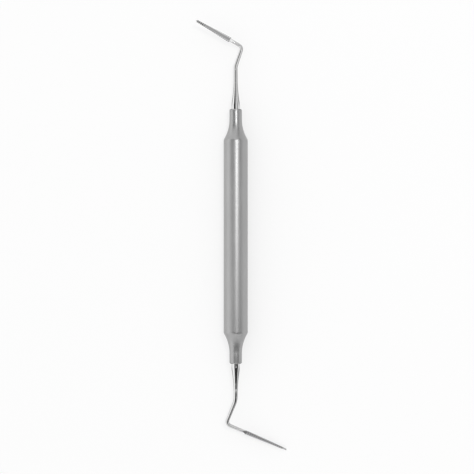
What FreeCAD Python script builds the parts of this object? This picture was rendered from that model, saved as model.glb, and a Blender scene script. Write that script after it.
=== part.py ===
import FreeCAD, Part
import math
import os
import re

import Sketcher
from FreeCAD import Placement, Rotation, Vector

# Double-ended bone file: a tube handle with a polished working end pressed into each mouth.
# It lies at rest along Y, on its grip and on one tip. The origin is on the handle's axis, halfway along it.
# The working end at +Y has its smooth back upwards, and the one at -Y has its teeth away from the handle.
# All lengths are millimetres and all angles degrees.

SIZES = [
    # Handle
    ("handle_length", 100.0, "from rim to rim"),
    ("grip_diameter", 9.5, "straight middle of the handle"),
    ("grip_wall", 0.9, "tube wall along the grip"),
    ("flare_length", 8.0, "bell from the neck to its shoulder"),
    ("shoulder_radius", 2.0, "rounding from the bell into the grip"),
    ("neck_length", 4.0, "from the rim to the bell"),
    ("neck_wall", 0.75, "tube wall at the rim"),
    ("rim_chamfer", 0.3, "outer edge of the rim"),
    ("plug_length", 1.0, "narrow bore on behind the bell, before the tube opens"),
    # Shank, shared by both working ends
    ("tang_diameter", 3.4, "shank where it is pressed into the socket"),
    ("tang_length", 10.0, "hidden in the socket"),
    ("stub_length", 1.6, "straight stretch of shank outside the rim"),
    ("taper_length", 11.0, "concave taper from the stub to the shank"),
    ("shank_diameter", 1.5, "where the taper ends"),
    ("throat_diameter", 1.2, "thinnest point, just before the blade"),
    # Blade, shared by both working ends
    ("heel_width", 1.95, "across the teeth at the heel"),
    ("heel_depth", 1.45, "from the teeth to the back at the heel"),
    ("heel_back", 1.0, "flat of the back at the heel, between its two bevels"),
    ("heel_bevel", 0.4, "height of those bevels"),
    ("heel_tooth", 0.32, "how far the first tooth stands out of the core"),
    ("tip_width", 0.95, "across the teeth at the last tooth"),
    ("tip_depth", 0.75, "from the teeth to the back at the last tooth"),
    ("tip_back", 0.5, "flat of the back at the last tooth"),
    ("tip_bevel", 0.18, "height of its bevels"),
    ("tip_tooth", 0.19, "how far the last tooth stands out of the core"),
    ("tooth_land", 0.42, "width of the first and the last tooth"),
    ("gap_root", 0.34, "flat root between two teeth"),
    ("gap_lean", 8.0, "slope of a tooth's trailing side"),
    ("back_skin", 0.12, "blank left over the gaps, under the flat of the back"),
    ("back_proud", 0.015, "core's back over the teeth's"),
    ("nick_width", 0.34, "notch across the back between the last teeth"),
    ("nick_depth", 0.1, "of those nicks"),
    ("nick_count", 4, "number of nicks"),
    # Working end at +Y
    ("upper_straight", 3.363, "straight wire from the taper to the first bend"),
    ("upper_first_bend", 19.0, "turn of the first bend"),
    ("upper_first_radius", 5.0, "of the first bend"),
    ("upper_arm", 8.05, "from corner to corner"),
    ("upper_second_bend", 79.0, "turn of the second bend"),
    ("upper_second_radius", 1.75, "of the second bend"),
    ("upper_throat", 3.4, "corner of the second bend to the throat"),
    ("upper_heel", 2.28, "throat to the first tooth"),
    ("upper_pitch", 0.8, "tooth to tooth"),
    ("upper_teeth", 19, "number of teeth"),
    ("upper_nub_length", 0.6, "smooth tip beyond the last tooth"),
    ("upper_nub_base", 0.66, "diameter of the smooth tip at that tooth"),
    ("upper_nub_end", 0.4, "diameter of its rounded end"),
    # Working end at -Y
    ("lower_straight", 0.245, "straight wire from the taper to the first bend"),
    ("lower_first_bend", 22.0, "turn of the first bend"),
    ("lower_first_radius", 8.0, "of the first bend"),
    ("lower_arm", 10.1, "from corner to corner"),
    ("lower_second_bend", 89.0, "turn of the second bend"),
    ("lower_second_radius", 1.75, "of the second bend"),
    ("lower_throat", 6.8, "corner of the second bend to the throat"),
    ("lower_heel", 1.48, "throat to the first tooth"),
    ("lower_pitch", 0.9, "tooth to tooth"),
    ("lower_teeth", 18, "number of teeth"),
    ("lower_nub_length", 1.75, "smooth tip beyond the last tooth"),
    ("lower_nub_base", 0.62, "diameter of the smooth tip at that tooth"),
    ("lower_nub_end", 0.52, "diameter of its rounded end"),
]

SHEET = "Sizes"
OVERRUN = 0.5  # how far a cutter reaches past the metal that it cuts

# Points of an edge, and a sketch's own axes and origin, as its rules count them
START, END, CENTRE = range(1, 4)
ACROSS, UPRIGHT = range(-1, -3, -1)
ORIGIN = (ACROSS, START)

doc = FreeCAD.newDocument("bone_file")


def fill_sheet():
    """Writes the driving sizes into the document's sheet, one row each."""
    sheet = doc.addObject("Spreadsheet::Sheet", SHEET)
    for row, (alias, value, meaning) in enumerate(SIZES, start=1):
        sheet.set(f"A{row}", meaning)
        sheet.set(f"B{row}", str(value))
        sheet.setAlias(f"B{row}", alias)
    doc.recompute()
    return sheet


def formula(text):
    """An expression in which every name with an underscore is a cell of the sheet."""
    return re.sub(r"[a-z]+(_[a-z]+)+", lambda name: f"{SHEET}.{name[0]}", text)


def value(text):
    """What a formula comes to, as a plain number."""
    return float(sizes.evalExpression(formula(text)))


def sketch_on(body, role, name, tilt=None):
    """A new sketch on one of the body's own origin planes, turned on it if a rotation is given."""
    plane = next(f for f in body.Origin.OriginFeatures if f.Role == role)
    sketch = body.newObject("Sketcher::SketchObject", name)
    sketch.AttachmentSupport = [(plane, "")]
    sketch.MapMode = "FlatFace"
    if tilt:
        sketch.AttachmentOffset = Placement(Vector(), tilt)
    return sketch


def shift(sketch, **places):
    """Binds where the sketch lies: its x, y and z on the plane, and its turn about the axis it was tilted on."""
    for name, text in places.items():
        path = "Rotation.Angle" if name == "turn" else f"Base.{name}"
        sketch.setExpression(f"AttachmentOffset.{path}", formula(text))


def line(sketch, start, end, construction=False):
    """A straight edge between two points of the sketch."""
    return sketch.addGeometry(Part.LineSegment(Vector(*start), Vector(*end)), construction)


def arc(sketch, centre, radius, first, last):
    """A round edge, counterclockwise between two angles in degrees."""
    circle = Part.Circle(Vector(*centre), Vector(0, 0, 1), radius)
    return sketch.addGeometry(Part.ArcOfCircle(circle, math.radians(first), math.radians(last)), False)


def relate(sketch, *rules):
    """Adds rules that hold no number, such as what is upright or tangent."""
    for rule in rules:
        sketch.addConstraint(Sketcher.Constraint(*rule))


def chain(sketch, edges):
    """Joins each edge's end to the next one's start, and the last one to the first."""
    for edge, following in zip(edges, edges[1:] + edges[:1]):
        relate(sketch, ("Coincident", edge, END, following, START))


def dimension(sketch, name, text, kind, *places):
    """Adds a named dimension and binds it to the sheet."""
    amount = value(text)
    if kind == "Angle":
        amount = math.radians(amount)
    index = sketch.addConstraint(Sketcher.Constraint(kind, *places, amount))
    sketch.renameConstraint(index, name)
    sketch.setExpression(f"Constraints.{name}", formula(text))


def new_body(label):
    """An empty sub-part whose label is the name of its node."""
    body = doc.addObject("PartDesign::Body", "".join(word.title() for word in label.split("_")))
    body.Label = label
    return body


def loft(body, name, sections):
    """Joins sketched sections with straight-sided walls."""
    feature = body.newObject("PartDesign::AdditiveLoft", name)
    feature.Profile = sections[0]
    feature.Sections = sections[1:]
    feature.Ruled = True
    return feature


def revolve(body, name, sketch, axis):
    """Turns a half profile once round an axis of its sketch."""
    feature = body.newObject("PartDesign::Revolution", name)
    feature.Profile = sketch
    feature.ReferenceAxis = (sketch, [axis])
    feature.Angle = 360
    return feature


def cut_across(body, name, sketch):
    """Cuts a side profile through the whole width of the blade."""
    feature = body.newObject("PartDesign::Pocket", name)
    feature.Profile = sketch
    feature.SideType = "Symmetric"
    feature.Length = value("heel_width") + 2 * OVERRUN
    feature.setExpression("Length", formula(f"heel_width + {2 * OVERRUN}"))
    return feature


def repeat(body, name, feature, spacing, count):
    """Repeats a cut along the construction line of its own sketch, which follows the tapering back."""
    pattern = body.newObject("PartDesign::LinearPattern", name)
    pattern.Originals = [feature]
    pattern.Direction = (feature.Profile[0], ["Axis0"])
    pattern.Mode = "Spacing"
    pattern.setExpression("Offset", formula(spacing))
    pattern.setExpression("Occurrences", formula(count))
    body.Tip = pattern
    return pattern


def handle():
    """A tube with a turned plug in each end: straight grip, bell, neck and the socket for a tang."""
    body = new_body("handle")
    sketch = sketch_on(body, "XY_Plane", "HandleProfile")

    grip = value("grip_diameter / 2")
    inside = value("grip_diameter / 2 - grip_wall")
    bore = value("tang_diameter / 2")
    neck = value("tang_diameter / 2 + neck_wall")
    rim = value("handle_length / 2")
    bell = rim - value("neck_length")
    shoulder = bell - value("flare_length")
    socket = shoulder - value("plug_length")
    chamfer = value("rim_chamfer")
    rounding = value("shoulder_radius")
    rise = grip - neck
    flare = (value("flare_length") ** 2 + rise ** 2) / (2 * rise)
    slope = math.degrees(math.asin(value("flare_length") / flare))

    middle = line(sketch, (inside, 0), (grip, 0))
    side = line(sketch, (grip, 0), (grip, shoulder))
    bend = arc(sketch, (grip - rounding, shoulder), rounding, 0, slope)
    sweep = arc(sketch, (neck + flare, bell), flare, 180, 180 + slope)
    collar = line(sketch, (neck, bell), (neck, rim - chamfer))
    lip = line(sketch, (neck, rim - chamfer), (neck - chamfer, rim))
    face = line(sketch, (neck - chamfer, rim), (bore, rim))
    hole = line(sketch, (bore, rim), (bore, socket))
    step = line(sketch, (bore, socket), (inside, socket))
    tube = line(sketch, (inside, socket), (inside, 0))

    loop = [collar, lip, face, hole, step, tube, middle, side]
    for edge, following in zip(loop, loop[1:]):
        relate(sketch, ("Coincident", edge, END, following, START))
    relate(
        sketch,
        ("Tangent", side, END, bend, START),
        ("Tangent", bend, END, sweep, END),
        ("Tangent", sweep, START, collar, START),
        ("PointOnObject", middle, START, ACROSS),
        ("Horizontal", middle),
        ("Vertical", side),
        ("Vertical", collar),
        ("Horizontal", face),
        ("Vertical", hole),
        ("Horizontal", step),
        ("Vertical", tube),
    )
    dimension(sketch, "grip", "grip_diameter / 2", "DistanceX", *ORIGIN, middle, END)
    dimension(sketch, "wall", "grip_wall", "DistanceX", middle, START, middle, END)
    dimension(sketch, "shoulder", "shoulder_radius", "Radius", bend)
    rise = "(grip_diameter / 2 - tang_diameter / 2 - neck_wall)"
    dimension(sketch, "flare", f"(flare_length ^ 2 + {rise} ^ 2) / (2 * {rise})", "Radius", sweep)
    dimension(sketch, "neck", "neck_wall", "DistanceX", hole, START, lip, START)
    dimension(sketch, "bell", "neck_length - rim_chamfer", "DistanceY", collar, START, collar, END)
    dimension(sketch, "lip", "rim_chamfer", "DistanceY", lip, START, lip, END)
    dimension(sketch, "lip_across", "rim_chamfer", "DistanceX", lip, END, lip, START)
    dimension(sketch, "rim", "handle_length / 2", "DistanceY", *ORIGIN, hole, START)
    dimension(sketch, "bore", "tang_diameter / 2", "DistanceX", *ORIGIN, hole, START)
    socket = "neck_length + flare_length + plug_length"
    dimension(sketch, "socket", socket, "DistanceY", hole, END, hole, START)

    half = revolve(body, "HandleHalf", sketch, "V_Axis")
    whole = body.newObject("PartDesign::Mirrored", "HandleWhole")
    whole.Originals = [half]
    whole.MirrorPlane = (sketch, ["H_Axis"])
    body.Tip = whole
    return body


class WorkingEnd:
    """One polished end: tang, tapering shank with two bends, and toothed blade.

    It is modelled with the corner of the second bend at the origin, the blade along +X and the bends in XY,
    then set into its mouth of the handle. The back of the blade faces +Z on an end that cuts when pushed,
    and +Y, along the bend, on an end that cuts when pulled.
    """

    def __init__(self, side, pulls):
        self.side = side
        self.pulls = pulls
        self.body = new_body(f"{side}_file_end")
        self.side_plane = "XY_Plane" if pulls else "XZ_Plane"
        self.roll = Rotation(Vector(0, 0, 1), -90 if pulls else 0)

        # Directions and corners of the route, as formulas in the blade's own frame
        self.arm_turn = f"{side}_second_bend"
        self.run_turn = f"({side}_second_bend - {side}_first_bend)"
        self.corner = (
            f"-{side}_arm * cos({self.arm_turn})",
            f"{side}_arm * sin({self.arm_turn})",
        )
        self.reach = f"({side}_first_radius * tan({side}_first_bend / 2))"
        self.taper_end = self.along_run(f"({self.reach} + {side}_straight)")
        self.mouth = self.along_run(f"({self.reach} + {side}_straight + taper_length + stub_length)")

        # Stations along the blade
        self.throat = f"{side}_throat"
        self.heel = f"({side}_throat + {side}_heel)"
        self.toothed = f"(({side}_teeth - 1) * {side}_pitch + tooth_land)"
        self.last = f"({self.heel} + {self.toothed})"

    def along_run(self, distance):
        """The point that far from the first corner towards the handle."""
        return (
            f"{self.corner[0]} - {distance} * cos({self.run_turn})",
            f"{self.corner[1]} + {distance} * sin({self.run_turn})",
        )

    def sketch(self, role, name, tilt=None):
        return sketch_on(self.body, role, f"{self.side.title()}{name}", tilt)

    def name(self, word):
        return f"{self.side.title()}{word}"

    def section(self, name, station):
        """An empty section across the blade, its own y towards the back."""
        sketch = self.sketch("YZ_Plane", name, self.roll)
        shift(sketch, z=station)
        return sketch

    def draw_section(self, sketch, width, below, above, back, bevel):
        """A flat toothed face, two straight sides, and a flat back between two bevels."""
        half, low, high = value(f"{width} / 2"), value(below), value(above)
        flat, drop = value(f"{back} / 2"), value(bevel)
        corners = [
            (-half, -low), (half, -low), (half, high - drop), (flat, high), (-flat, high), (-half, high - drop),
        ]
        edges = [line(sketch, start, end) for start, end in zip(corners, corners[1:] + corners[:1])]
        toothed, right, right_bevel, top, _, left = edges
        chain(sketch, edges)
        relate(
            sketch,
            ("Vertical", right),
            ("Vertical", left),
            ("Symmetric", toothed, START, toothed, END, UPRIGHT),
            ("Symmetric", top, START, top, END, UPRIGHT),
            ("Horizontal", right, END, left, START),
        )
        dimension(sketch, "width", width, "DistanceX", toothed, START, toothed, END)
        dimension(sketch, "below", below, "DistanceY", toothed, END, *ORIGIN)
        dimension(sketch, "above", above, "DistanceY", *ORIGIN, top, START)
        dimension(sketch, "back", back, "DistanceX", top, END, top, START)
        dimension(sketch, "bevel", bevel, "DistanceY", right_bevel, START, right_bevel, END)

    def draw_round(self, sketch, diameter):
        """A plain circle round the sketch's own origin."""
        circle = sketch.addGeometry(Part.Circle(Vector(), Vector(0, 0, 1), value(f"{diameter} / 2")), False)
        relate(sketch, ("Coincident", circle, CENTRE, *ORIGIN))
        dimension(sketch, "size", diameter, "Diameter", circle)

    def draw_split_round(self, sketch, diameter):
        """A circle in six arcs, so that it meets the core's six-sided section edge to edge."""
        radius = value(f"{diameter} / 2")
        turns = [-135, -45, 22.5, 67.5, 112.5, 157.5, 225]
        arcs = [arc(sketch, (0, 0), radius, first, last) for first, last in zip(turns, turns[1:])]
        toothed, right, _, top, _, left = arcs
        chain(sketch, arcs)
        for piece in arcs[:-1]:
            relate(sketch, ("Coincident", piece, CENTRE, *ORIGIN))
        relate(
            sketch,
            ("Equal", left, toothed),
            ("Horizontal", toothed, START, toothed, END),
            ("Horizontal", top, START, top, END),
            ("Horizontal", right, END, left, START),
        )
        dimension(sketch, "size", f"{diameter} / 2", "Radius", toothed)
        dimension(sketch, "toothed", f"{diameter} * cos(45)", "DistanceX", toothed, START, toothed, END)
        dimension(sketch, "top", f"{diameter} * sin(22.5)", "DistanceX", top, END, top, START)
        dimension(sketch, "corner", f"{diameter} / 2 * sin(22.5)", "DistanceY", *ORIGIN, right, END)

    def blank(self):
        """The toothed stretch before its gaps are cut."""
        sections = []
        for name, station, place in (("Heel", "heel", self.heel), ("Tip", "tip", self.last)):
            sketch = self.section(f"Blank{name}", place)
            half_depth = f"{station}_depth / 2"
            self.draw_section(
                sketch, f"{station}_width", half_depth, half_depth, f"{station}_back", f"{station}_bevel"
            )
            sections.append(sketch)
        return loft(self.body, self.name("Blank"), sections)

    def gaps(self):
        """Saw-tooth gaps: a steep cutting face, a narrow flat root and a leaning trailing side."""
        tilt = Rotation(Vector(0, 1, 0), 180 if self.pulls else 0)
        sketch = self.sketch(self.side_plane, "Gap", tilt)
        first = f"{self.side}_pitch" if self.pulls else "tooth_land"
        shift(sketch, x=f"{self.heel} + {first}")

        root = value("heel_depth / 2 - back_skin")
        flat = value("gap_root")
        mouth = -value("heel_depth / 2") - OVERRUN
        foot = flat + (root - mouth) * math.tan(math.radians(value("gap_lean")))
        run = value(self.toothed)
        drop = value("(heel_depth - tip_depth) / 2")
        forward = -1 if self.pulls else 1

        trailing = line(sketch, (foot, mouth), (flat, root))
        floor = line(sketch, (flat, root), (0, root))
        cutting = line(sketch, (0, root), (0, mouth))
        open_side = line(sketch, (0, mouth), (foot, mouth))
        guide = line(sketch, (0, root), (forward * run, root - drop), True)
        chain(sketch, [trailing, floor, cutting, open_side])
        relate(
            sketch,
            ("Horizontal", floor),
            ("Vertical", cutting),
            ("Horizontal", open_side),
            ("PointOnObject", cutting, START, UPRIGHT),
            ("Coincident", guide, START, cutting, START),
        )
        dimension(sketch, "floor", "gap_root", "DistanceX", floor, END, floor, START)
        dimension(sketch, "lean", "90 + gap_lean", "Angle", trailing)
        dimension(sketch, "mouth", f"heel_depth / 2 + {OVERRUN}", "DistanceY", cutting, END, *ORIGIN)
        dimension(sketch, "ridge", "heel_depth / 2 - back_skin", "DistanceY", *ORIGIN, guide, START)
        dimension(sketch, "drop", "(heel_depth - tip_depth) / 2", "DistanceY", guide, END, guide, START)
        ends = (guide, END, guide, START) if self.pulls else (guide, START, guide, END)
        dimension(sketch, "run", self.toothed, "DistanceX", *ends)

        gap = cut_across(self.body, self.name("FirstGap"), sketch)
        return repeat(self.body, self.name("Gaps"), gap, f"{self.side}_pitch", f"{self.side}_teeth - 1")

    def core_section(self, station, place):
        """A section of what the teeth stand on, narrower than the blank but under the same back."""
        sketch = self.section(f"Core{station.title()}", place)
        slope = f"({station}_bevel / (({station}_width - {station}_back) / 2))"
        side = f"(({station}_width - {station}_back) / 2 - {station}_tooth)"
        self.draw_section(
            sketch,
            f"({station}_width - 2 * {station}_tooth)",
            f"({station}_depth / 2 - {station}_tooth)",
            f"({station}_depth / 2 + back_proud)",
            f"{station}_back",
            f"{slope} * {side}",
        )
        return sketch

    def flare(self):
        """From the round throat to the core's first section."""
        throat = self.section("Throat", self.throat)
        self.draw_split_round(throat, "throat_diameter")
        self.core_heel = self.core_section("heel", self.heel)
        return loft(self.body, self.name("Flare"), [throat, self.core_heel])

    def core(self):
        """What the teeth stand on, closing the gaps in the middle."""
        tip = self.core_section("tip", f"{self.last} - tooth_land / 2")
        return loft(self.body, self.name("Core"), [self.core_heel, tip])

    def nicks(self):
        """Shallow notches across the back, over the roots of the last few gaps."""
        sketch = self.sketch(self.side_plane, "Nick")
        side = self.side
        beside = "- gap_root / 2" if self.pulls else "+ gap_root / 2"
        first = f"{side}_pitch" if self.pulls else "tooth_land"
        shift(sketch, x=f"{self.heel} + {first} + ({side}_teeth - 2) * {side}_pitch {beside}")
        floor = value("tip_depth / 2 - nick_depth")
        width = value("nick_width")
        top = value("tip_depth / 2 + nick_depth")
        run = value(self.toothed)
        drop = value("(heel_depth - tip_depth) / 2")
        right = line(sketch, (0, floor), (width, top))
        lid = line(sketch, (width, top), (-width, top))
        left = line(sketch, (-width, top), (0, floor))
        guide = line(sketch, (0, floor), (-run, floor + drop), True)
        chain(sketch, [right, lid, left])
        relate(
            sketch,
            ("Coincident", guide, START, right, START),
            ("PointOnObject", right, START, UPRIGHT),
            ("Symmetric", lid, START, lid, END, UPRIGHT),
        )
        dimension(sketch, "floor", "tip_depth / 2 - nick_depth", "DistanceY", *ORIGIN, right, START)
        dimension(sketch, "depth", "2 * nick_depth", "DistanceY", right, START, right, END)
        dimension(sketch, "width", "2 * nick_width", "DistanceX", lid, END, lid, START)
        dimension(sketch, "run", self.toothed, "DistanceX", guide, END, guide, START)
        dimension(sketch, "rise", "(heel_depth - tip_depth) / 2", "DistanceY", guide, START, guide, END)

        nick = cut_across(self.body, self.name("FirstNick"), sketch)
        return repeat(self.body, self.name("Nicks"), nick, f"{side}_pitch", "nick_count")

    def nub(self):
        """The smooth round tip beyond the last tooth."""
        side = self.side
        sketch = self.sketch("XY_Plane", "NubProfile")
        base, end = value(f"{side}_nub_base / 2"), value(f"{side}_nub_end / 2")
        start = value(f"{self.last} - tooth_land / 2")
        tip = value(f"{self.last} + {side}_nub_length")
        face = line(sketch, (start, 0), (start, base))
        cone = line(sketch, (start, base), (tip - end, end))
        ball = arc(sketch, (tip - end, 0), end, 0, 85)
        axis = line(sketch, (tip, 0), (start, 0))
        relate(
            sketch,
            ("Coincident", face, END, cone, START),
            ("Tangent", cone, END, ball, END),
            ("Coincident", ball, START, axis, START),
            ("Coincident", axis, END, face, START),
            ("Vertical", face),
            ("PointOnObject", axis, START, ACROSS),
            ("PointOnObject", axis, END, ACROSS),
            ("PointOnObject", ball, CENTRE, ACROSS),
        )
        dimension(sketch, "start", f"{self.last} - tooth_land / 2", "DistanceX", *ORIGIN, face, START)
        dimension(sketch, "base", f"{side}_nub_base / 2", "DistanceY", face, START, face, END)
        dimension(sketch, "tip", f"{self.last} + {side}_nub_length", "DistanceX", *ORIGIN, ball, START)
        dimension(sketch, "end", f"{side}_nub_end / 2", "Radius", ball)
        return revolve(self.body, self.name("Nub"), sketch, "H_Axis")

    def shank(self):
        """Round wire, thinning slightly, from the end of the taper round both bends to the throat."""
        side = self.side
        route = self.sketch("XY_Plane", "Route")
        start = tuple(value(text) for text in self.taper_end)
        corner = tuple(value(text) for text in self.corner)
        run_turn, arm_turn = value(self.run_turn), value(self.arm_turn)
        reach = value(self.reach)
        back = value(f"{side}_second_radius * tan({self.arm_turn} / 2)")

        def from_corner(place, distance, angle):
            """The point that far from a corner, in a direction given in degrees."""
            return (
                place[0] + distance * math.cos(math.radians(angle)),
                place[1] + distance * math.sin(math.radians(angle)),
            )

        run_end = from_corner(corner, reach, 180 - run_turn)
        arm_start = from_corner(corner, reach, -arm_turn)
        arm_end = from_corner((0, 0), back, 180 - arm_turn)
        run = line(route, run_end, start)
        radius = value(f"{side}_first_radius")
        centre = from_corner(run_end, radius, -90 - run_turn)
        first = arc(route, centre, radius, 90 - arm_turn, 90 - run_turn)
        arm = line(route, arm_end, arm_start)
        radius = value(f"{side}_second_radius")
        second = arc(route, (back, radius), radius, 270 - arm_turn, 270)
        neck = line(route, (back, 0), (value(self.throat), 0))
        relate(
            route,
            ("Tangent", run, START, first, END),
            ("Tangent", first, START, arm, END),
            ("Tangent", arm, START, second, START),
            ("Tangent", second, END, neck, START),
            ("PointOnObject", neck, END, ACROSS),
            ("Horizontal", neck),
        )
        dimension(route, "throat", self.throat, "DistanceX", *ORIGIN, neck, END)
        dimension(route, "second", f"{side}_second_radius", "Radius", second)
        tangent = f"{side}_second_radius * tan({self.arm_turn} / 2)"
        dimension(route, "back", tangent, "DistanceX", *ORIGIN, neck, START)
        dimension(route, "first", f"{side}_first_radius", "Radius", first)
        dimension(route, "arm", f"180 - {self.arm_turn}", "Angle", arm)
        dimension(route, "run_x", f"-({self.taper_end[0]})", "DistanceX", run, END, *ORIGIN)
        dimension(route, "run_y", self.taper_end[1], "DistanceY", *ORIGIN, run, END)
        dimension(route, "run", f"180 - {self.run_turn}", "Angle", run)

        thick = self.sketch("YZ_Plane", "TaperEnd", Rotation(Vector(0, -1, 0), 10))
        shift(thick, x=self.taper_end[1], z=self.taper_end[0], turn=self.run_turn)
        self.draw_round(thick, "shank_diameter")
        thin = self.sketch("YZ_Plane", "ShankEnd")
        shift(thin, z=self.throat)
        self.draw_round(thin, "throat_diameter")
        pipe = self.body.newObject("PartDesign::AdditivePipe", self.name("Shank"))
        pipe.Profile = thick
        pipe.Spine = route
        pipe.Sections = [thin]
        pipe.Transformation = "Multisection"
        return pipe

    def neck(self):
        """Tang in the socket, stub outside the rim, and the concave taper down to the shank."""
        sketch = self.sketch("XY_Plane", "NeckProfile", Rotation(Vector(0, 0, -1), 10))
        shift(sketch, x=self.mouth[0], y=self.mouth[1], turn=f"90 + {self.run_turn}")
        tang, wire = value("tang_diameter / 2"), value("shank_diameter / 2")
        inner = -value("tang_length")
        outer = value("stub_length")
        top = outer + value("taper_length")
        drop = tang - wire
        radius = (value("taper_length") ** 2 + drop ** 2) / (2 * drop)
        slope = math.degrees(math.asin(value("taper_length") / radius))

        end = line(sketch, (0, top), (wire, top))
        sweep = arc(sketch, (wire + radius, top), radius, 180, 180 + slope)
        shaft = line(sketch, (tang, outer), (tang, inner))
        face = line(sketch, (tang, inner), (0, inner))
        axis = line(sketch, (0, inner), (0, top))
        chain(sketch, [end, sweep, shaft, face, axis])
        relate(
            sketch,
            ("Horizontal", end),
            ("Horizontal", sweep, START, sweep, CENTRE),
            ("Vertical", shaft),
            ("Horizontal", face),
            ("PointOnObject", face, END, UPRIGHT),
            ("PointOnObject", end, START, UPRIGHT),
        )
        dimension(sketch, "wire", "shank_diameter / 2", "DistanceX", end, START, end, END)
        dimension(sketch, "top", "stub_length + taper_length", "DistanceY", *ORIGIN, end, START)
        dimension(sketch, "stub", "stub_length", "DistanceY", *ORIGIN, shaft, START)
        dimension(sketch, "tang", "tang_diameter / 2", "DistanceX", *ORIGIN, shaft, START)
        dimension(sketch, "inner", "tang_length", "DistanceY", face, END, *ORIGIN)
        return revolve(self.body, self.name("Neck"), sketch, "V_Axis")

    def build(self):
        steps = (self.neck, self.shank, self.flare, self.blank, self.nub, self.gaps, self.core, self.nicks)
        for step in steps:
            step()
            doc.recompute()
        return self

    def seat(self):
        """From the blade's own frame to one with the mouth at the origin and the shank starting along +Y."""
        mouth = Vector(value(self.mouth[0]), value(self.mouth[1]), 0)
        return Placement(mouth, Rotation(Vector(0, 0, 1), -90 - value(self.run_turn))).inverse()

    def resting_roll(self):
        """How far the handle rolls from level bends until this end's ball is down where the grip is."""
        side = self.side
        ball = value(f"{self.last} + {side}_nub_length - {side}_nub_end / 2")
        aside = abs(self.seat().multVec(Vector(ball, 0, 0)).x)
        return math.degrees(math.asin(value(f"grip_diameter / 2 - {side}_nub_end / 2") / aside))


def check_all():
    """Stops if anything in the document failed, or if a sub-part is not one valid solid."""
    failed = [item.Name for item in doc.Objects if {"Invalid", "Error"} & set(item.State)]
    if failed:
        raise RuntimeError(f"failed: {failed}")
    for body in bodies:
        if body.Shape.isNull() or not body.Shape.isValid() or len(body.Shape.Solids) != 1:
            raise RuntimeError(f"{body.Label} is not one valid solid")


sizes = fill_sheet()
tube = handle()
upper = WorkingEnd("upper", pulls=False).build()
lower = WorkingEnd("lower", pulls=True).build()

roll = Rotation(Vector(0, 1, 0), lower.resting_roll())
mouth = Vector(0, value("handle_length / 2"), 0)
upper.body.Placement = Placement(mouth, roll) * upper.seat()
lower.body.Placement = Placement(-mouth, roll * Rotation(Vector(0, 0, 1), 180)) * lower.seat()
bodies = [tube, upper.body, lower.body]
doc.recompute()
check_all()

os.makedirs("parts", exist_ok=True)
for body in bodies:
    body.Shape.exportStep(f"parts/{body.Label}.step")
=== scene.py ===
import math

import bmesh
import bpy
from mathutils import Matrix, Vector

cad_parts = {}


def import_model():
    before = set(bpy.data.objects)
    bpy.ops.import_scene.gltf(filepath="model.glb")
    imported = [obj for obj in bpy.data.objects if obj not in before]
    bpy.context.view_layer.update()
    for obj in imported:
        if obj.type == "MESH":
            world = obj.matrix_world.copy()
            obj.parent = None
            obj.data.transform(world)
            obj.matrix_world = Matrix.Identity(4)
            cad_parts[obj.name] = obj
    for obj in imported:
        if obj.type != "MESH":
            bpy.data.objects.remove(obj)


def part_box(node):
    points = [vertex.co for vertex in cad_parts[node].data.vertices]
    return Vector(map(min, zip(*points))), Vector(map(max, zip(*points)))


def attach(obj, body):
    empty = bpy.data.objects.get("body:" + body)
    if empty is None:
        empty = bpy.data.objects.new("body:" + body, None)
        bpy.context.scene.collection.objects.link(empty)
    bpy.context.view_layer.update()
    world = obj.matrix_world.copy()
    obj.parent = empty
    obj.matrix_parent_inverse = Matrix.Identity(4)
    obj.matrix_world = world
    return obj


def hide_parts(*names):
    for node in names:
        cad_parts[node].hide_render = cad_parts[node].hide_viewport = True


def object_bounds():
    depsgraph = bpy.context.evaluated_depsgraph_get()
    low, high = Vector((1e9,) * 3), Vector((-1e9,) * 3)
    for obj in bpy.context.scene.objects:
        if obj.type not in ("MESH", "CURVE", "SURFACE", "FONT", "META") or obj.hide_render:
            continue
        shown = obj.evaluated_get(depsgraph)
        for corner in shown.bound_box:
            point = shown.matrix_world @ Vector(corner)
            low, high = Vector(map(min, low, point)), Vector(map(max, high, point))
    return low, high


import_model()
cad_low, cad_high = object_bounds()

# Double-ended bone file on a pale table: a satin tube handle and two polished, toothed ends.
# Each end is modelled with the corner of its second bend at the origin and its blade along +X,
# then set into its mouth of the handle. Lengths are metres, small ones written as millimetres
# times MM, and angles are degrees.

MM = 0.001
X, Y, Z = Vector((1, 0, 0)), Vector((0, 1, 0)), Vector((0, 0, 1))

# The handle. RIM is how far its mouths are from the middle, and GRIP, NECK and BORE are radii.
handle_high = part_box("handle")[1]
RIM = handle_high.y
GRIP = handle_high.x
BORE = 1.7 * MM
NECK = 2.45 * MM
NECK_LENGTH = 4.0 * MM
FLARE_LENGTH = 8.0 * MM
SHOULDER = 2.0 * MM
RIM_CHAMFER = 0.3 * MM
RIM_ROUNDING = 0.1 * MM

# The shanks. WIRE is the radius where the taper ends, and THROAT the radius before the blade.
STUB = 1.6 * MM
TAPER = 11.0 * MM
TANG = 10.0 * MM
WIRE = 0.75 * MM
THROAT = 0.6 * MM

# The blades, at the heel and at the last tooth. The outermost tooth is as long as LAND, the
# trailing side of each leans by LEAN of its height, and the last few gaps also cross the back.
HEEL = {"width": 1.95 * MM, "depth": 1.45 * MM, "back": 1.0 * MM, "bevel": 0.4 * MM, "tooth": 0.32 * MM}
TIP = {"width": 0.95 * MM, "depth": 0.75 * MM, "back": 0.5 * MM, "bevel": 0.18 * MM, "tooth": 0.19 * MM}
LAND = 0.42 * MM
GAP = 0.34 * MM
LEAN = math.tan(math.radians(8))
NICKED_TEETH = 4
NICK = 0.1 * MM
BACK_PROUD = 0.015 * MM
EDGE_BREAK = 0.02 * MM
FLAT_FROM = 0.05 * MM
SUNK = 0.05 * MM
TIP_ARC = 88.2

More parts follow.
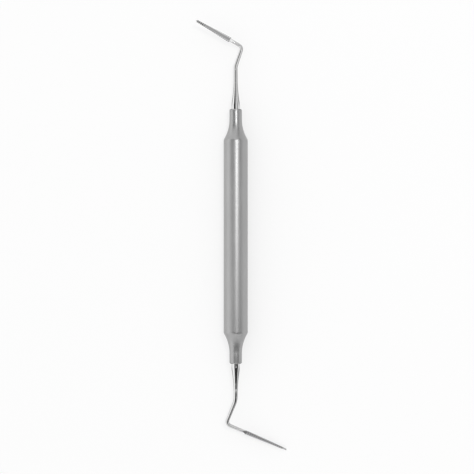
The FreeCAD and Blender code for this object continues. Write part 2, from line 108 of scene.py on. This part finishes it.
# A blade that pulls has the steep faces of its teeth towards its heel, the other towards its tip.
UPPER = {
    "name": "upper_end", "node": "upper_file_end", "pulls": False, "mouth": RIM, "turned": 0,
    "straight": 3.363 * MM, "first_bend": 19, "first_radius": 5.0 * MM, "arm": 8.05 * MM,
    "second_bend": 79, "second_radius": 1.75 * MM, "throat": 3.4 * MM, "heel": 2.28 * MM,
    "pitch": 0.8 * MM, "teeth": 19, "nub": 0.6 * MM, "nub_base": 0.33 * MM, "nub_end": 0.2 * MM,
}
LOWER = {
    "name": "lower_end", "node": "lower_file_end", "pulls": True, "mouth": -RIM, "turned": 180,
    "straight": 0.245 * MM, "first_bend": 22, "first_radius": 8.0 * MM, "arm": 10.1 * MM,
    "second_bend": 89, "second_radius": 1.75 * MM, "throat": 6.8 * MM, "heel": 1.48 * MM,
    "pitch": 0.9 * MM, "teeth": 18, "nub": 1.75 * MM, "nub_base": 0.31 * MM, "nub_end": 0.26 * MM,
}

# How finely round forms are divided
HANDLE_SIDES = 128
WIRE_SIDES = 48
SHOULDER_STEPS = 8
BELL_STEPS = 16
TAPER_STEPS = 20
FIRST_BEND_STEPS = 10
SECOND_BEND_STEPS = 24
FLARE_CUTS = 8
TIP_STEPS = 8

# Points closer than MERGE become one, and NEAR is the play when a place is looked up. A face
# looks a certain way when its normal has at least FACING of it. Edges steeper than SHARP are
# broken, and those flatter than the last two angles are shaded smooth.
MERGE = 0.001 * MM
NEAR = 0.01 * MM
FACING = 0.9
SHARP = 25
HANDLE_SMOOTH = 35
END_SMOOTH = 30

# The photograph: 474 pixels square, with the object from top to bottom and its handle's axis here
PICTURE = 474
PICTURE_TOP = 20
PICTURE_BOTTOM = 450
PICTURE_AXIS = 235.7

# The studio. FILL is the light from all round, and PAPER_GLOW how far the table is plain white.
LENS = 135
SENSOR = 36
FILL = 0.88
TABLE_SIZE = 6
PAPER_GLOW = 0.65
CARD_DISTANCE = 0.35
CARD_LIFT = 0.1 * MM


def grey(shade):
    return (shade, shade, shade, 1)


class Socket:
    """A value in a node tree, on which Python's operators add Math nodes."""

    def __init__(self, nodes, output):
        self.nodes = nodes
        self.output = output

    def math(self, operation, *values):
        return self.nodes.add("ShaderNodeMath", {"operation": operation}, dict(enumerate(values)))

    def __add__(self, other):
        return self.math("ADD", self, other)

    __radd__ = __add__

    def __sub__(self, other):
        return self.math("SUBTRACT", self, other)

    def __mul__(self, other):
        return self.math("MULTIPLY", self, other)

    __rmul__ = __mul__

    def __abs__(self):
        return self.math("ABSOLUTE", self)

    def over(self, limit):
        """1 where the value is above the limit, else 0."""
        return self.math("GREATER_THAN", self, limit)

    def larger(self, other):
        return self.math("MAXIMUM", self, other)


class Nodes:
    """Adds nodes to the tree of a material or of the world."""

    def __init__(self, owner):
        owner.use_nodes = True
        self.tree = owner.node_tree

    def find(self, kind):
        return next(node for node in self.tree.nodes if node.type == kind)

    def feed(self, node, values):
        """Gives sockets of a node their values or links."""
        for name, given in values.items():
            if isinstance(given, Socket):
                self.tree.links.new(given.output, node.inputs[name])
            else:
                node.inputs[name].default_value = given

    def add(self, kind, settings=None, values=None, output=0):
        """A node of that type, with its settings and then the values of its sockets."""
        node = self.tree.nodes.new(kind)
        for name, setting in (settings or {}).items():
            setattr(node, name, setting)
        self.feed(node, values or {})
        return Socket(self, node.outputs[output])

    def place(self, axis):
        """How far along X, Y or Z the surface lies, on the piece's own coordinates."""
        own = self.add("ShaderNodeTexCoord", output="Object")
        return self.add("ShaderNodeSeparateXYZ", None, {0: own}, axis)

    def noise(self, grains, detail=3.0):
        """Noise on the piece's own coordinates, with its grains per metre along X, Y and Z."""
        own = self.add("ShaderNodeTexCoord", output="Object")
        scaled = self.add("ShaderNodeVectorMath", {"operation": "MULTIPLY"}, {0: own, 1: grains})
        values = {"Vector": scaled, "Scale": 1.0, "Detail": detail, "Roughness": 0.55}
        return self.add("ShaderNodeTexNoise", {"noise_dimensions": "3D"}, values)

    def ramp(self, value, black, white):
        """From 0 where the value is at black to 1 where it is at white."""
        ramp = self.add("ShaderNodeValToRGB", None, {"Fac": value})
        stops = ramp.output.node.color_ramp.elements
        for stop, position, shade in zip(stops, (black, white), (0, 1)):
            stop.position = position
            stop.color = grey(shade)
        return ramp

    def blend(self, factor, one, other):
        """From one grey to another."""
        values = {0: factor, 6: grey(one), 7: grey(other)}
        return self.add("ShaderNodeMix", {"data_type": "RGBA"}, values, 2)

    def bump(self, height, strength, distance):
        values = {"Height": height, "Strength": strength, "Distance": distance}
        return self.add("ShaderNodeBump", None, values)

    def background_rays(self):
        """1 for rays that show the backdrop: from the camera, off metal or through something clear."""
        kinds = ("Is Camera Ray", "Is Glossy Ray", "Is Transmission Ray")
        camera, glossy, clear = (self.add("ShaderNodeLightPath", output=kind) for kind in kinds)
        return camera.larger(glossy).larger(clear)


def metal(name, build):
    """A metal whose Base Color, Roughness and Normal come from build(nodes)."""
    material = bpy.data.materials.new(name)
    nodes = Nodes(material)
    colour, roughness, normal = build(nodes)
    values = {"Metallic": 1.0, "Base Color": colour, "Roughness": roughness, "Normal": normal}
    nodes.feed(nodes.find("BSDF_PRINCIPLED"), values)
    return material


def satin(nodes):
    """Blasted and lightly turned stainless steel, burnished smoother round its rims and painted lighter
    there as a highlight.
    """
    grain = nodes.noise((7000, 7000, 7000), 2.0)
    turning = nodes.noise((150, 9000, 150), 2.0)
    cloud = nodes.ramp(nodes.noise((260, 90, 260), 4.0), 0.35, 0.7)
    # Round the rims the steel is smoother, a real burnish, and its lighter colour there is a painted
    # highlight along the chamfer.
    rim = abs(nodes.place("Y")).over(RIM - RIM_CHAMFER)
    colour = nodes.blend((0.5 * cloud + 0.5 * grain).larger(rim), 0.37, 0.44)
    roughness = 0.33 + 0.06 * grain + 0.05 * cloud - 0.12 * rim
    return colour, roughness, nodes.bump(grain + 0.6 * turning, 0.35, 0.006 * MM)


def polished(nodes):
    """Bright stainless steel with faint lines and a little handling haze."""
    lines = nodes.noise((2500, 160, 2500), 2.0)
    haze = nodes.noise((420, 300, 420), 4.0)
    colour = nodes.blend(haze, 0.66, 0.76)
    roughness = 0.02 + 0.04 * nodes.ramp(haze, 0.4, 0.8) + 0.015 * lines
    return colour, roughness, nodes.bump(lines, 0.12, 0.002 * MM)


def ground(nodes):
    """The blade's back and the roots of its gaps, as a fine wheel leaves them."""
    marks = nodes.noise((9000, 1200, 9000))
    return nodes.blend(marks, 0.56, 0.76), 0.04 + 0.05 * marks, nodes.bump(marks, 0.15, 0.002 * MM)


def teeth_painted_dark(nodes):
    """The teeth, as steel painted very dark: painted shade standing in for the dark they reflect, mottled
    by fine marks.
    """
    marks = nodes.noise((9000, 1200, 9000))
    return nodes.blend(marks, 0.09, 0.18), 0.20 + 0.12 * marks, nodes.bump(marks, 0.3, 0.004 * MM)


def choose(*pieces):
    """Makes these the only selected objects, and the first of them the active one."""
    bpy.ops.object.select_all(action="DESELECT")
    for piece in pieces:
        piece.select_set(True)
    bpy.context.view_layer.objects.active = pieces[0]


def settle(piece):
    """Moves an object's place, rotation and scale into its mesh."""
    choose(piece)
    bpy.ops.object.transform_apply(location=True, rotation=True, scale=True)


def edit(piece):
    """Goes into edit mode on a piece, with nothing of it selected."""
    choose(piece)
    bpy.ops.object.mode_set(mode="EDIT")
    bpy.ops.mesh.select_mode(type="VERT")
    bpy.ops.mesh.select_all(action="DESELECT")


def leave():
    bpy.ops.object.mode_set(mode="OBJECT")


def pick_faces(piece, way):
    """Selects the faces that look that way."""
    bpy.ops.mesh.select_mode(type="FACE")
    bpy.ops.mesh.select_all(action="DESELECT")
    mesh = bmesh.from_edit_mesh(piece.data)
    for face in mesh.faces:
        face.select_set(face.normal.dot(way) > FACING)
    mesh.select_flush_mode()
    bmesh.update_edit_mesh(piece.data)


def pick_edges(piece, wanted):
    """Selects the edges for which wanted(edge) holds."""
    bpy.ops.mesh.select_mode(type="EDGE")
    bpy.ops.mesh.select_all(action="DESELECT")
    mesh = bmesh.from_edit_mesh(piece.data)
    for edge in mesh.edges:
        edge.select_set(wanted(edge))
    bmesh.update_edit_mesh(piece.data)


def ring(name, sides, radius, place, turn):
    """An open ring to grow a piece from, in edit mode with the ring selected."""
    bpy.ops.object.select_all(action="DESELECT")
    bpy.ops.mesh.primitive_circle_add(vertices=sides, radius=radius, location=place, rotation=turn)
    piece = bpy.context.object
    piece.name = name
    settle(piece)
    edit(piece)
    bpy.ops.mesh.select_all(action="SELECT")
    return piece


def grow(place, onward, growth=1.0):
    """Extrudes the selected ring from a place by a step and widens it there. Returns the new place."""
    bpy.ops.mesh.extrude_region_move(TRANSFORM_OT_translate={"value": onward})
    arrived = place + onward
    if growth != 1.0:
        bpy.ops.transform.resize(value=(growth, growth, growth), center_override=arrived)
    return arrived


def grow_profile(profile, axis):
    """Grows the selected ring through a list of (place along the axis, radius)."""
    place = axis * profile[0][0]
    for (here, was), (there, now) in zip(profile, profile[1:]):
        place = grow(place, axis * (there - here), now / was)


def face_outward():
    bpy.ops.mesh.select_all(action="SELECT")
    bpy.ops.mesh.normals_make_consistent(inside=False)


def smooth(piece, angle):
    choose(piece)
    bpy.ops.object.shade_smooth_by_angle(angle=math.radians(angle))


def handle_profile():
    """Half the handle as (place along Y, radius), from its middle over the rim and back down the bore."""
    bell = RIM - NECK_LENGTH
    rise = GRIP - NECK
    flare = (FLARE_LENGTH ** 2 + rise ** 2) / (2 * rise)
    across = NECK + flare - (GRIP - SHOULDER)
    slope = math.acos(across / (flare + SHOULDER))
    shoulder = bell - (flare + SHOULDER) * math.sin(slope)
    profile = [(0.0, GRIP), (shoulder, GRIP)]
    for step in range(1, SHOULDER_STEPS + 1):
        turn = slope * step / SHOULDER_STEPS
        profile.append((shoulder + SHOULDER * math.sin(turn), GRIP - SHOULDER * (1 - math.cos(turn))))
    for step in range(BELL_STEPS - 1, -1, -1):
        turn = slope * step / BELL_STEPS
        profile.append((bell - flare * math.sin(turn), NECK + flare * (1 - math.cos(turn))))
    profile += [(RIM - RIM_CHAMFER, NECK), (RIM, NECK - RIM_CHAMFER), (RIM, BORE), (0.0, BORE)]
    return profile


def is_rim_edge(edge):
    """Whether an edge runs round the outside of a rim, at either side of its chamfer."""
    one, other = (vertex.co for vertex in edge.verts)
    level = abs(one.y - other.y) < MERGE
    at_rim = abs(one.y) > RIM - RIM_CHAMFER - NEAR
    return level and at_rim and math.hypot(one.x, one.z) > BORE + RIM_ROUNDING


def make_handle():
    """The tube handle: half its profile grown from a ring, then mirrored."""
    profile = handle_profile()
    piece = ring("tube_handle", HANDLE_SIDES, profile[0][1], (0, 0, 0), (math.radians(90), 0, 0))
    grow_profile(profile, Y)
    leave()
    mirror = piece.modifiers.new("Other half", "MIRROR")
    mirror.use_axis = (False, True, False)
    mirror.merge_threshold = MERGE
    bpy.ops.object.modifier_apply(modifier=mirror.name)
    edit(piece)
    face_outward()
    pick_edges(piece, is_rim_edge)
    bpy.ops.mesh.bevel(offset=RIM_ROUNDING, segments=3, affect="EDGES")
    leave()
    smooth(piece, HANDLE_SMOOTH)
    return piece


def heel_of(end):
    """Where an end's teeth begin, along X."""
    return end["throat"] + end["heel"]


def last_of(end):
    """Where its last tooth stops."""
    return heel_of(end) + (end["teeth"] - 1) * end["pitch"] + LAND


def ball_of(end):
    """The centre of its rounded tip."""
    return last_of(end) + end["nub"] - end["nub_end"]


def section(share, core=False):
    """The blade's section part of the way from its heel to its last tooth, over or under the teeth."""
    size = {name: HEEL[name] + (TIP[name] - HEEL[name]) * share for name in HEEL}
    low = high = size["depth"] / 2
    width, bevel = size["width"], size["bevel"]
    if core:
        bevel *= 1 - size["tooth"] / ((width - size["back"]) / 2)
        width -= 2 * size["tooth"]
        low -= size["tooth"]
        high += BACK_PROUD
    return {"width": width, "low": low, "high": high, "back": size["back"], "bevel": bevel}


def bar(name, start, finish, one, other):
    """A bar along X between two six-sided sections, toothed face down and back up, in edit mode."""
    middle = (start + finish) / 2
    shoulder = one["high"] - one["bevel"]
    bpy.ops.object.select_all(action="DESELECT")
    bpy.ops.mesh.primitive_cube_add(size=1, location=(middle, 0, (shoulder - one["low"]) / 2))
    piece = bpy.context.object
    piece.name = name
    piece.scale = (finish - start, one["width"], shoulder + one["low"])
    settle(piece)
    edit(piece)
    pick_faces(piece, Z)
    bpy.ops.mesh.extrude_region_move(TRANSFORM_OT_translate={"value": (0, 0, one["bevel"])})
    narrower = (1, one["back"] / one["width"], 1)
    bpy.ops.transform.resize(value=narrower, center_override=(middle, 0, one["high"]))
    pick_faces(piece, X)
    across = other["width"] / one["width"]
    down = (other["low"] + other["high"]) / (one["low"] + one["high"])
    # The height that the taper leaves where it is
    level = (other["high"] - one["high"] * down) / (1 - down) if down != 1 else 0
    bpy.ops.transform.resize(value=(1, across, down), center_override=(finish, 0, level))
    return piece


def break_edges(piece):
    """Takes the sharpness off a block's edges, so that they catch the light."""
    pick_edges(piece, lambda edge: edge.is_manifold and edge.calc_face_angle(0) > math.radians(SHARP))
    bpy.ops.mesh.bevel(offset=EDGE_BREAK, segments=2, affect="EDGES", clamp_overlap=True)


def make_tooth(end):
    """One tooth at full size, as a slice of the blank: upright cutting face, leaning trailing side."""
    size = section(0)
    thick = end["pitch"] - GAP
    piece = bar("tooth", 0, thick, size, size)
    lean = (size["low"] + size["high"]) * LEAN
    cutting = 0 if end["pulls"] else thick
    pick_faces(piece, -Z)
    shorter = ((thick - lean) / thick, 1, 1)
    bpy.ops.transform.resize(value=shorter, center_override=(cutting, 0, -size["low"]))
    break_edges(piece)
    leave()
    return piece


def make_teeth(end):
    """The tooth copied along the blade, each copy smaller than the last."""
    first = make_tooth(end)
    thick = end["pitch"] - GAP
    full = section(0)
    outermost = end["teeth"] - 1 if end["pulls"] else 0
    teeth = []
    for number in range(end["teeth"]):
        size = section(number / (end["teeth"] - 1))
        length = LAND if number == outermost else thick
        copy = first.copy()
        copy.data = first.data.copy()
        bpy.context.collection.objects.link(copy)
        copy.location.x = heel_of(end) + number * end["pitch"] + (0 if end["pulls"] else LAND - length)
        down = (size["low"] + size["high"]) / (full["low"] + full["high"])
        copy.scale = (length / thick, size["width"] / full["width"], down)
        teeth.append(copy)
    bpy.data.objects.remove(first)
    return teeth


def make_core(end):
    """What the teeth stand on: a tapering bar, and a lower one where gaps cross the back."""
    heel, last = heel_of(end), last_of(end)
    nicked = last - NICKED_TEETH * end["pitch"] - LAND / 2
    share = (nicked - heel) / (last - heel)
    full, middle, least = (section(part, True) for part in (0, share, 1))
    core = bar("core", heel, nicked, full, middle)
    pick_faces(core, -X)
    bpy.ops.mesh.delete(type="FACE")
    # A loop close to the heel, past which the flare no longer rounds the shading of the flat faces
    bpy.ops.mesh.select_all(action="SELECT")
    bpy.ops.mesh.bisect(plane_co=(heel + FLAT_FROM, 0, 0), plane_no=(1, 0, 0), threshold=MERGE)
    leave()
    for size in (middle, least):
        size["high"] -= NICK
        size["bevel"] = max(size["bevel"] - NICK / 2, EDGE_BREAK)
    low = bar("nicked_core", nicked - SUNK, last - LAND / 2, middle, least)
    leave()
    return core, low


def make_nub(end):
    """The smooth tip beyond the last tooth, rounded nearly to a point."""
    start = last_of(end) - LAND / 2
    ball = ball_of(end)
    profile = [(start, end["nub_base"] * 0.5), (start, end["nub_base"]), (ball, end["nub_end"])]
    for step in range(1, TIP_STEPS + 1):
        turn = math.radians(TIP_ARC) * step / TIP_STEPS
        profile.append((ball + end["nub_end"] * math.sin(turn), end["nub_end"] * math.cos(turn)))
    piece = ring("nub", WIRE_SIDES, profile[0][1], (start, 0, 0), (0, math.radians(90), 0))
    bpy.ops.mesh.edge_face_add()
    grow_profile(profile, X)
    leave()
    return piece


def heading(turn):
    """The way back to the handle, turned clockwise from -X."""
    return Vector((-math.cos(math.radians(turn)), math.sin(math.radians(turn)), 0))


def beside(turn):
    """Square to that way, on the right of it."""
    return Vector((math.sin(math.radians(turn)), math.cos(math.radians(turn)), 0))


def bend(centre, angle, steps):
    """Spins the selected ring about an upright axis, anticlockwise seen from above."""
    bpy.ops.mesh.spin(steps=steps, angle=-math.radians(angle), center=centre, axis=(0, 0, 1))


def make_shank(end):
    """The shank, from the throat backwards round both bends, up the concave taper and into the handle."""
    first, second = end["first_bend"], end["second_bend"]
    first_reach = end["first_radius"] * math.tan(math.radians(first / 2))
    second_reach = end["second_radius"] * math.tan(math.radians(second / 2))
    blade_run = end["throat"] - second_reach
    arm_run = end["arm"] - second_reach - first_reach
    thickening = (WIRE - THROAT) / (blade_run + arm_run + end["straight"])
    at_second = THROAT + thickening * blade_run
    at_first = at_second + thickening * arm_run

    piece = ring("shank", WIRE_SIDES, THROAT, (end["throat"], 0, 0), (0, math.radians(90), 0))
    place = grow(X * end["throat"], -X * blade_run, at_second / THROAT)
    centre = place + Y * end["second_radius"]
    bend(centre, -second, SECOND_BEND_STEPS)
    place = centre - beside(second) * end["second_radius"]
    place = grow(place, heading(second) * arm_run, at_first / at_second)
    centre = place - beside(second) * end["first_radius"]
    bend(centre, first, FIRST_BEND_STEPS)
    turn = second - first
    place = centre + beside(turn) * end["first_radius"]
    place = grow(place, heading(turn) * end["straight"], WIRE / at_first)

    drop = BORE - WIRE
    sweep = (TAPER ** 2 + drop ** 2) / (2 * drop)
    was = WIRE
    for step in range(1, TAPER_STEPS + 1):
        now = WIRE + sweep - math.sqrt(sweep ** 2 - (TAPER * step / TAPER_STEPS) ** 2)
        place = grow(place, heading(turn) * (TAPER / TAPER_STEPS), now / was)
        was = now
    place = grow(place, heading(turn) * (STUB + TANG))
    bpy.ops.mesh.edge_face_add()
    leave()
    return piece, place - heading(turn) * TANG, turn


def join(pieces, name):
    choose(*pieces)
    bpy.ops.object.join()
    pieces[0].name = name
    pieces[0].data.name = name
    return pieces[0]


def make_flare(end, shank, core):
    """Bridges the round throat to the six-sided section at the heel."""
    edit(core)
    pick_edges(core, lambda edge: edge.is_boundary)
    bpy.ops.mesh.subdivide(number_cuts=WIRE_SIDES // 6 - 1)
    leave()
    whole = join([shank, core], "shank")

    def is_lip(edge):
        middle = (edge.verts[0].co + edge.verts[1].co) / 2
        return edge.is_boundary and min(abs(middle.x - end["throat"]), abs(middle.x - heel_of(end))) < NEAR

    edit(whole)
    pick_edges(whole, is_lip)
    bpy.ops.mesh.bridge_edge_loops(number_cuts=FLARE_CUTS, interpolation="LINEAR")
    leave()
    return whole


def seat(mouth, turn):
    """From the blade's own frame to one with the mouth at the origin and the shank starting along +Y."""
    return (Matrix.Translation(mouth) @ Matrix.Rotation(math.radians(-90 - turn), 4, "Z")).inverted()


def paint(piece, *materials):
    for material in materials:
        piece.data.materials.append(material)


def make_end(end, shine, flat, teeth_painted_shade):
    """One working end on its own frame, and the way into its mouth of the handle."""
    core, nicked = make_core(end)
    shank, mouth, turn = make_shank(end)
    teeth = make_teeth(end)
    nub = make_nub(end)
    if end["pulls"]:
        for piece in [core, nicked, *teeth]:
            piece.rotation_euler.x = math.radians(-90)
            settle(piece)
    whole = make_flare(end, shank, core)
    paint(whole, shine, flat)
    paint(nub, shine)
    paint(nicked, flat)
    for piece in teeth:
        paint(piece, teeth_painted_shade)
    for face in whole.data.polygons:
        face.material_index = 1 if face.center.x > heel_of(end) - NEAR else 0
    piece = join([whole, nub, nicked, *teeth], end["name"])
    edit(piece)
    face_outward()
    leave()
    smooth(piece, END_SMOOTH)
    return piece, seat(mouth, turn)


handle = make_handle()
paint(handle, metal("handle_satin", satin))
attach(handle, "root")
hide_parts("handle")

# The teeth's steel is painted dark, as painted shade.
steels = (("polished_steel", polished), ("ground_steel", ground), ("tooth_steel_painted_dark", teeth_painted_dark))
finishes = [metal(*steel) for steel in steels]
built = [(end, *make_end(end, *finishes)) for end in (UPPER, LOWER)]

# The instrument rolls about its handle until the lower end's rounded tip is as low as the grip.
_, _, lower_seat = built[1]
tip = lower_seat @ (X * ball_of(LOWER))
roll = Matrix.Rotation(math.asin((GRIP - LOWER["nub_end"]) / abs(tip.x)), 4, "Y")
for end, piece, seated in built:
    turned = Matrix.Rotation(math.radians(end["turned"]), 4, "Z")
    piece.matrix_world = Matrix.Translation(Y * end["mouth"]) @ roll @ turned @ seated
    settle(piece)
    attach(piece, "root")
    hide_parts(end["node"])


def world():
    """White where the backdrop shows, and a softer fill for everything else."""
    sky = bpy.data.worlds.new("studio")
    bpy.context.scene.world = sky
    nodes = Nodes(sky)
    strength = FILL + (1 - FILL) * nodes.background_rays()
    nodes.feed(nodes.find("BACKGROUND"), {"Color": grey(1), "Strength": strength})


def table():
    """Pale paper under the object, on which its shadow shows faintly."""
    bpy.ops.mesh.primitive_plane_add(size=TABLE_SIZE, location=(0, 0, cad_low.z))
    floor = bpy.context.object
    floor.name = "table"
    material = bpy.data.materials.new("pale_table")
    nodes = Nodes(material)
    paper = nodes.find("BSDF_PRINCIPLED")
    nodes.feed(paper, {"Base Color": grey(0.9), "Roughness": 0.9, "Specular IOR Level": 0.1})
    white = nodes.add("ShaderNodeEmission", None, {"Color": grey(1)})
    shaders = {0: PAPER_GLOW * nodes.background_rays(), 1: Socket(nodes, paper.outputs[0]), 2: white}
    shown = nodes.add("ShaderNodeMixShader", None, shaders)
    nodes.feed(nodes.find("OUTPUT_MATERIAL"), {"Surface": shown})
    paint(floor, material)


def camera():
    """Looks square on to the plane of the bends, with the handle upright in the picture."""
    lens = bpy.data.cameras.new("camera")
    lens.lens = LENS
    lens.sensor_width = SENSOR
    eye = bpy.data.objects.new("camera", lens)
    bpy.context.collection.objects.link(eye)
    picture_height = (cad_high.y - cad_low.y) * PICTURE / (PICTURE_BOTTOM - PICTURE_TOP)
    pixel = picture_height / PICTURE
    right = (PICTURE / 2 - PICTURE_AXIS) * pixel
    up = (cad_high.y + cad_low.y) / 2 + ((PICTURE_TOP + PICTURE_BOTTOM) / 2 - PICTURE / 2) * pixel
    distance = picture_height * LENS / SENSOR
    place = roll @ X * right + Y * up + roll @ Z * distance
    turned = Matrix((roll @ X, Y, roll @ Z)).transposed().to_4x4()
    eye.matrix_world = Matrix.Translation(place) @ turned
    bpy.context.scene.camera = eye


def face_handle(thing, angle, distance, along):
    """Puts a lamp or card that far round the handle from the camera, towards the picture's right.
    It faces the handle, with its length along it."""
    out = roll @ Vector((math.sin(math.radians(angle)), 0, math.cos(math.radians(angle))))
    turned = Matrix((Y.cross(out), Y, out)).transposed().to_4x4()
    thing.matrix_world = Matrix.Translation(out * distance + Y * along) @ turned


def lamp(name, angle, distance, along, size, brightness):
    """A soft box of that brightness, where paper in full white light has 1."""
    light = bpy.data.lights.new(name, "AREA")
    light.shape = "RECTANGLE"
    light.size, light.size_y = size
    light.energy = brightness * math.pi * size[0] * size[1]
    soft_box = bpy.data.objects.new(name, light)
    bpy.context.collection.objects.link(soft_box)
    face_handle(soft_box, angle, distance, along)


def reflector(name, width, length, shade):
    """A sheet that only reflections see, so that polished steel shows its form."""
    bpy.ops.object.select_all(action="DESELECT")
    bpy.ops.mesh.primitive_plane_add(size=1)
    sheet = bpy.context.object
    sheet.name = name
    sheet.scale = (width, length, 1)
    bpy.ops.object.transform_apply(location=False, rotation=False, scale=True)
    material = bpy.data.materials.new(name)
    nodes = Nodes(material)
    glow = nodes.add("ShaderNodeEmission", None, {"Color": grey(shade)})
    nodes.feed(nodes.find("OUTPUT_MATERIAL"), {"Surface": glow})
    paint(sheet, material)
    sheet.visible_camera = False
    sheet.visible_diffuse = False
    sheet.visible_shadow = False
    sheet.visible_transmission = False
    return sheet


def card(name, first, last, near, far, shade):
    """A card over the object, between two angles round the handle and two places along it."""
    width = 2 * CARD_DISTANCE * math.tan(math.radians(last - first) / 2)
    sheet = reflector(name, width, far - near, shade)
    face_handle(sheet, (first + last) / 2, CARD_DISTANCE, (near + far) / 2)


def shade_card_on_table(name, left, right, near, far, shade):
    """A grey card on the table under a working end, seen only in reflections: painted shade in place of
    the table's shadow under the steel, which outlines it.
    """
    sheet = reflector(name, right - left, far - near, shade)
    sheet.location = ((left + right) / 2, (near + far) / 2, cad_low.z + CARD_LIFT)


world()
table()
camera()
lamp("overhead", 10, 0.95, 0.18, (0.12, 0.12), 36)
lamp("window", -75, 0.8, 0, (0.45, 1.4), 0.25)

# The upper end mirrors black on its left, then white, then grey. Its blade's back mirrors a mid grey.
card("upper_key_card", -50, -7, 0.062, 0.22, 0.02)
card("upper_line_card", -7, -2, 0.062, 0.097, 0.02)
card("blade_card", -7, 8, 0.097, 0.22, 0.5)
card("white_card", -2, 30, -0.05, 0.097, 1.0)
card("high_white_card", 8, 30, 0.097, 0.7, 1.0)
card("upper_side_card", 30, 58, 0.03, 0.7, 0.32)

# The lower end mirrors black nearly all round, with a slit beside the middle for a thin white line.
card("lower_key_card", -34, 66, -0.117, -0.062, 0.05)
card("lower_left_card", -34, 2.5, -0.14, -0.117, 0.05)
card("lower_right_card", 8.5, 66, -0.14, -0.117, 0.05)
card("lower_end_card", -34, 66, -0.3, -0.14, 0.05)

# Grey cards under each end, seen only in reflections, paint the table's shade into the steel's lower
# edges.
shade_card_on_table("under_upper_end_painted_shade", -25 * MM, 25 * MM, 53 * MM, 84 * MM, 0.4)
shade_card_on_table("under_lower_end_painted_shade", -25 * MM, 30 * MM, -86 * MM, -53 * MM, 0.4)

bpy.context.scene.view_settings.view_transform = "Standard"
